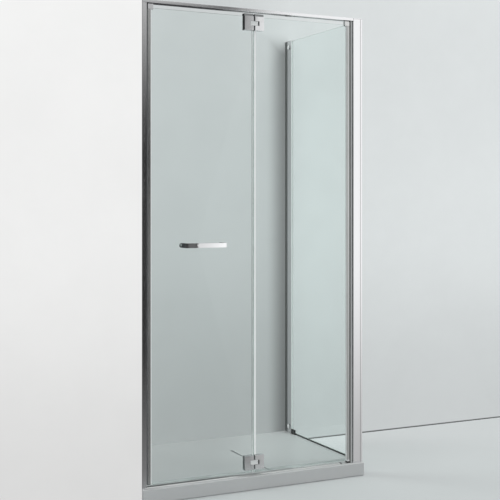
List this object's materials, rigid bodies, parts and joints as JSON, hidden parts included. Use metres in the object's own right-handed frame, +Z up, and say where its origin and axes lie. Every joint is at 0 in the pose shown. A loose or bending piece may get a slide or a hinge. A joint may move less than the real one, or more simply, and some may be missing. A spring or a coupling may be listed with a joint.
{
  "type": "shower enclosure",
  "caption": "Corner shower enclosure on a low rectangular tray: clear glass folding door with a bar handle, fixed side glass, polished frame and slot drain.",
  "frame": {"origin": "centre of the tray's underside", "axes": "+X to the right along the door side, +Y from the door side inwards, +Z up"},
  "size_m": [1, 0.714, 1.955],
  "materials": {
    "polished_profile": "polished",
    "chrome_fittings": "polished",
    "steel": "satin",
    "clear_glass": "gloss",
    "clear_seal": "satin",
    "grey_seal": "satin",
    "black_plastic": "satin",
    "tray": "satin"
  },
  "bodies": {
    "enclosure_frame": {"shower_tray": "tray", "drain_outlet": "black_plastic", "drain_insert": "steel", "left_wall_profile": "polished_profile", "left_jamb_profile": "polished_profile", "left_magnet_strip": "grey_seal", "jamb_screw_lower": "steel", "jamb_screw_upper": "steel", "top_rail": "polished_profile", "rail_end_plug": "black_plastic", "corner_post": "polished_profile", "post_top_cap": "polished_profile", "right_jamb_profile": "polished_profile", "right_jamb_seal": "grey_seal", "threshold_strip": "polished_profile", "threshold_end_plug": "black_plastic", "upper_pivot_stud": "steel", "lower_pivot_foot": "black_plastic", "side_front_profile": "polished_profile", "side_front_gasket": "clear_seal", "side_glass": "clear_glass", "side_sleeve_profile": "polished_profile", "side_back_gasket": "clear_seal", "side_wall_profile": "polished_profile", "side_top_cap": "polished_profile", "side_screw_lower": "chrome_fittings", "side_screw_upper": "chrome_fittings", "side_bottom_seal": "black_plastic"},
    "pivot_panel": {"pivot_glass": "clear_glass", "pivot_edge_profile": "polished_profile", "pivot_top_bracket": "chrome_fittings", "pivot_bottom_plug": "chrome_fittings", "pivot_drip_seal": "clear_seal", "fold_seal": "clear_seal", "upper_hinge_block_pivot": "chrome_fittings", "upper_hinge_plate_pivot": "chrome_fittings", "upper_hinge_pin_pivot": "steel", "lower_hinge_block_pivot": "chrome_fittings", "lower_hinge_plate_pivot": "chrome_fittings", "lower_hinge_pin_pivot": "steel"},
    "fold_links": {"upper_hinge_link": "chrome_fittings", "lower_hinge_link": "chrome_fittings"},
    "leading_panel": {"leading_glass": "clear_glass", "leading_edge_profile": "polished_profile", "guide_bracket": "chrome_fittings", "leading_bottom_cap": "grey_seal", "leading_magnet_seal": "grey_seal", "leading_drip_seal": "clear_seal", "upper_hinge_block_leading": "chrome_fittings", "upper_hinge_plate_leading": "chrome_fittings", "upper_hinge_pin_leading": "steel", "lower_hinge_block_leading": "chrome_fittings", "lower_hinge_plate_leading": "chrome_fittings", "lower_hinge_pin_leading": "steel", "handle_bar": "chrome_fittings", "handle_washer_left": "clear_seal", "handle_washer_right": "clear_seal", "handle_cap_left": "chrome_fittings", "handle_cap_right": "chrome_fittings"},
    "guide": {"guide_shoe": "black_plastic"}
  },
  "joints": [
    {"name": "door_pivot", "type": "hinge", "parent": "enclosure_frame", "child": "pivot_panel", "pos_m": [0.43539, -0.316, 1], "axis": [0, 0, -1], "range_deg": [0, 85]},
    {"name": "fold_hinge_pivot_side", "type": "hinge", "parent": "pivot_panel", "child": "fold_links", "pos_m": [-0.0014, -0.32752, 1], "axis": [0, 0, -1], "range_deg": [-85, 0]},
    {"name": "fold_hinge_leading_side", "type": "hinge", "parent": "fold_links", "child": "leading_panel", "pos_m": [-0.0304, -0.32752, 1], "axis": [0, 0, -1], "range_deg": [-85, 0]},
    {"name": "guide_swivel", "type": "hinge", "parent": "leading_panel", "child": "guide", "pos_m": [-0.4672, -0.316, 1], "axis": [0, 0, -1], "range_deg": [0, 85]}
  ],
  "couplings": [
    {"joint": "fold_hinge_pivot_side", "follows": "door_pivot", "ratio": -1},
    {"joint": "fold_hinge_leading_side", "follows": "door_pivot", "ratio": -1},
    {"joint": "guide_swivel", "follows": "door_pivot", "ratio": 1}
  ]
}
